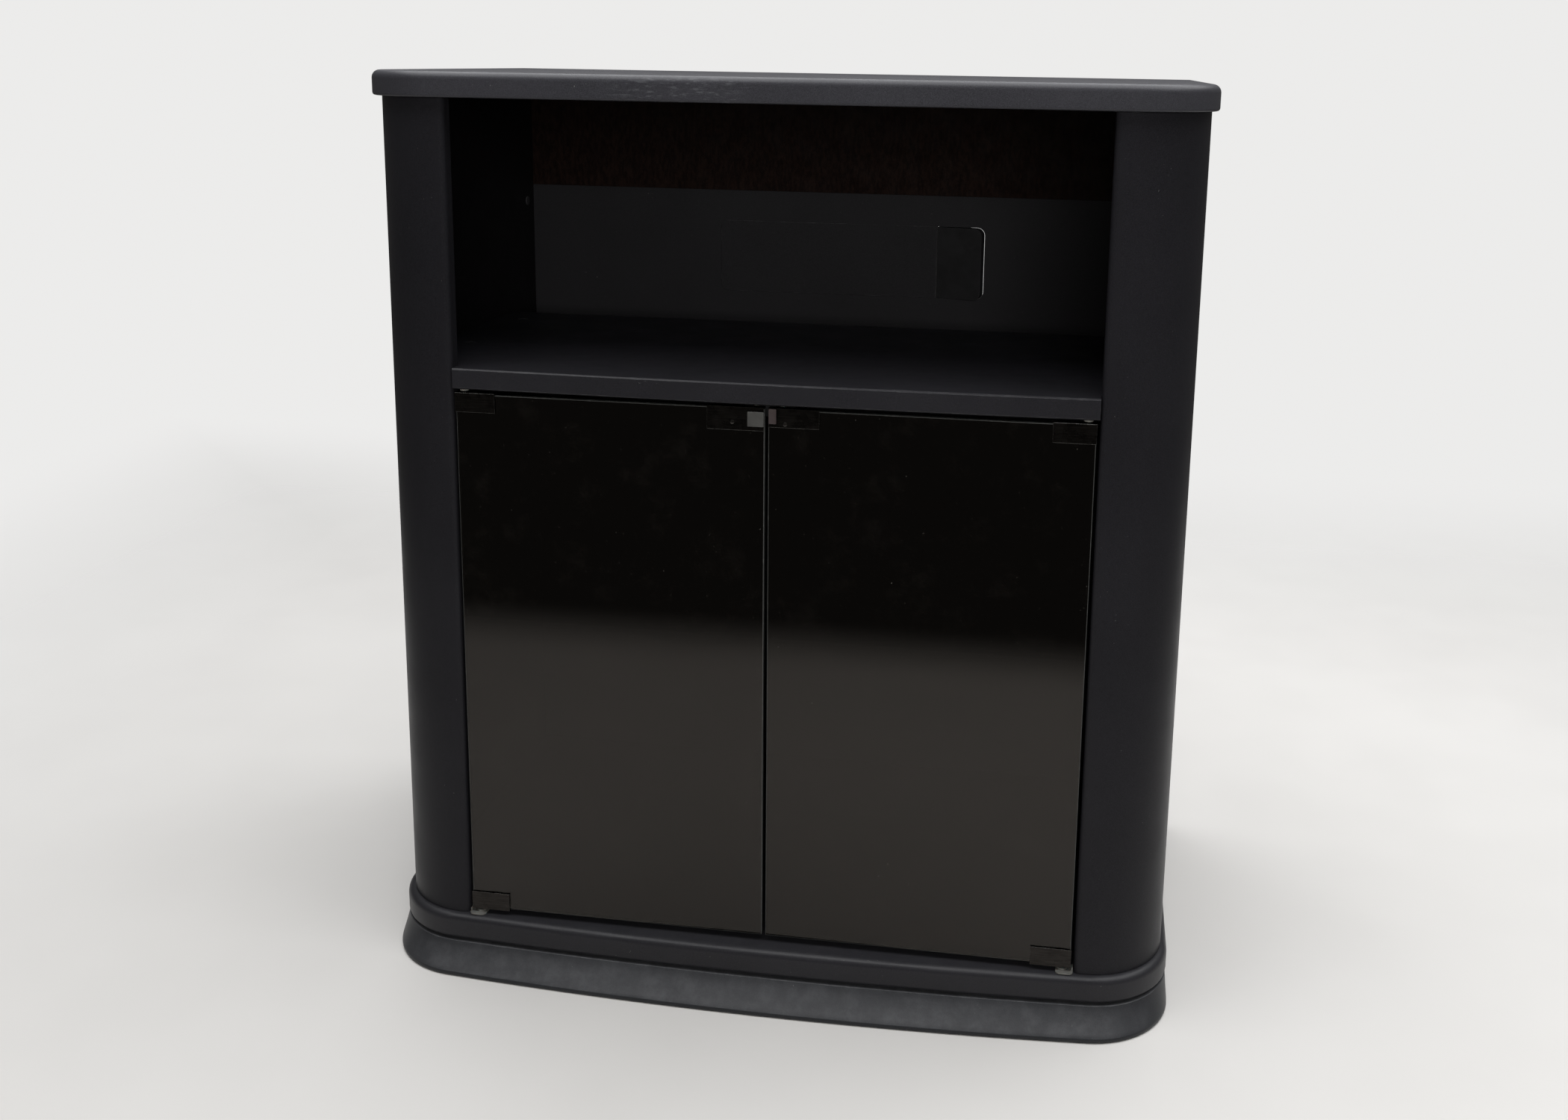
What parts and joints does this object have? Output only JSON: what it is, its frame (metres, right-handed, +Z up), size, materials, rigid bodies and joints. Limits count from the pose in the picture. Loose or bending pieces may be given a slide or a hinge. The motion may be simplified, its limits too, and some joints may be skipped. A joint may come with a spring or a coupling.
{
  "type": "swivel stand cabinet",
  "caption": "Charcoal laminate stand cabinet with rounded columns, an open bay over smoked glass touch-latch doors, and a wide swivel base.",
  "frame": {"origin": "centre of the bounding box's foot, on the floor; the swivel axis is the Z axis", "axes": "+Z up, -Y out of the front, +X to the viewer's right when facing the front"},
  "size_m": [0.745, 0.4524, 0.841],
  "materials": {
    "laminate": "satin charcoal laminate on chipboard",
    "smoked_glass": "grey-brown smoked float glass, ground edges",
    "dark_steel": "dark chrome plated pressed steel",
    "bright_steel": "zinc plated steel",
    "bearing_steel": "zinc plated pressed steel",
    "nylon": "grey nylon",
    "pad_plastic": "grey moulded plastic",
    "hardboard": "dark brown painted hardboard",
    "black_plastic": "charcoal moulded plastic"
  },
  "bodies": {
    "base": {"base_plinth": "laminate", "swivel_lower_plate": "bearing_steel", "swivel_lower_screw_1": "bright_steel", "swivel_lower_screw_2": "bright_steel", "swivel_lower_screw_3": "bright_steel"},
    "ball_ring": {"swivel_ball_ring": "bright_steel"},
    "cabinet": {"swivel_upper_plate": "bearing_steel", "swivel_upper_screw_1": "bright_steel", "swivel_upper_screw_2": "bright_steel", "swivel_upper_screw_3": "bright_steel", "bottom_board": "laminate", "left_column": "laminate", "right_column": "laminate", "left_side_panel": "laminate", "right_side_panel": "laminate", "middle_shelf": "laminate", "top_board": "laminate", "back_panel": "laminate", "upper_back_board": "hardboard", "back_panel_screw_1": "bright_steel", "back_panel_screw_2": "bright_steel", "back_panel_screw_3": "bright_steel", "back_panel_screw_4": "bright_steel", "back_panel_screw_5": "bright_steel", "back_panel_screw_6": "bright_steel", "cable_port_cover": "black_plastic", "latch_body": "black_plastic", "latch_screw_front": "bright_steel", "latch_screw_rear": "bright_steel", "left_front_shelf_cap": "black_plastic", "left_rear_shelf_cap": "black_plastic", "right_front_shelf_cap": "black_plastic", "right_rear_shelf_cap": "black_plastic", "left_side_cap": "black_plastic", "right_side_cap": "black_plastic", "left_top_bush": "nylon", "left_bottom_bush": "nylon", "right_top_bush": "nylon", "right_bottom_bush": "nylon"},
    "flap": {"cable_port_flap": "black_plastic"},
    "left_door": {"left_glass": "smoked_glass", "left_top_hinge_clamp": "dark_steel", "left_bottom_hinge_clamp": "dark_steel", "left_top_clamp_screw": "bright_steel", "left_bottom_clamp_screw": "bright_steel", "left_strike": "dark_steel", "left_strike_rivet": "bright_steel", "left_push_pad": "pad_plastic"},
    "left_latch": {"left_plunger": "nylon", "left_magnet": "bright_steel"},
    "right_door": {"right_glass": "smoked_glass", "right_top_hinge_clamp": "dark_steel", "right_bottom_hinge_clamp": "dark_steel", "right_top_clamp_screw": "bright_steel", "right_bottom_clamp_screw": "bright_steel", "right_strike": "dark_steel", "right_strike_rivet": "bright_steel", "right_push_pad": "pad_plastic"},
    "right_latch": {"right_plunger": "nylon", "right_magnet": "bright_steel"}
  },
  "joints": [
    {"name": "swivel", "type": "hinge", "parent": "base", "child": "cabinet", "pos_m": [0, 0, 0.0285], "axis": [0, 0, 1], "range_deg": [-25, 25]},
    {"name": "ball_ring_roll", "type": "hinge", "parent": "base", "child": "ball_ring", "pos_m": [0, 0, 0.023], "axis": [0, 0, 1], "range_deg": [-13, 13]},
    {"name": "left_door_hinge", "type": "hinge", "parent": "cabinet", "child": "left_door", "pos_m": [-0.275, -0.18415, 0.0595], "axis": [0, 0, -1], "range_deg": [0, 110]},
    {"name": "right_door_hinge", "type": "hinge", "parent": "cabinet", "child": "right_door", "pos_m": [0.275, -0.18415, 0.0595], "axis": [0, 0, 1], "range_deg": [0, 110]},
    {"name": "cable_flap_hinge", "type": "hinge", "parent": "cabinet", "child": "flap", "pos_m": [0.1056, 0.20805, 0.6419], "axis": [0, 0, -1], "range_deg": [-13, 50]},
    {"name": "left_latch_push", "type": "slide", "parent": "cabinet", "child": "left_latch", "axis": [0, 1, 0], "range_m": [0, 0.004], "stiffness_N_per_m": 300, "springref_m": -0.003},
    {"name": "right_latch_push", "type": "slide", "parent": "cabinet", "child": "right_latch", "axis": [0, 1, 0], "range_m": [0, 0.004], "stiffness_N_per_m": 300, "springref_m": -0.003}
  ],
  "couplings": [
    {"joint": "ball_ring_roll", "follows": "swivel", "ratio": 0.5}
  ]
}
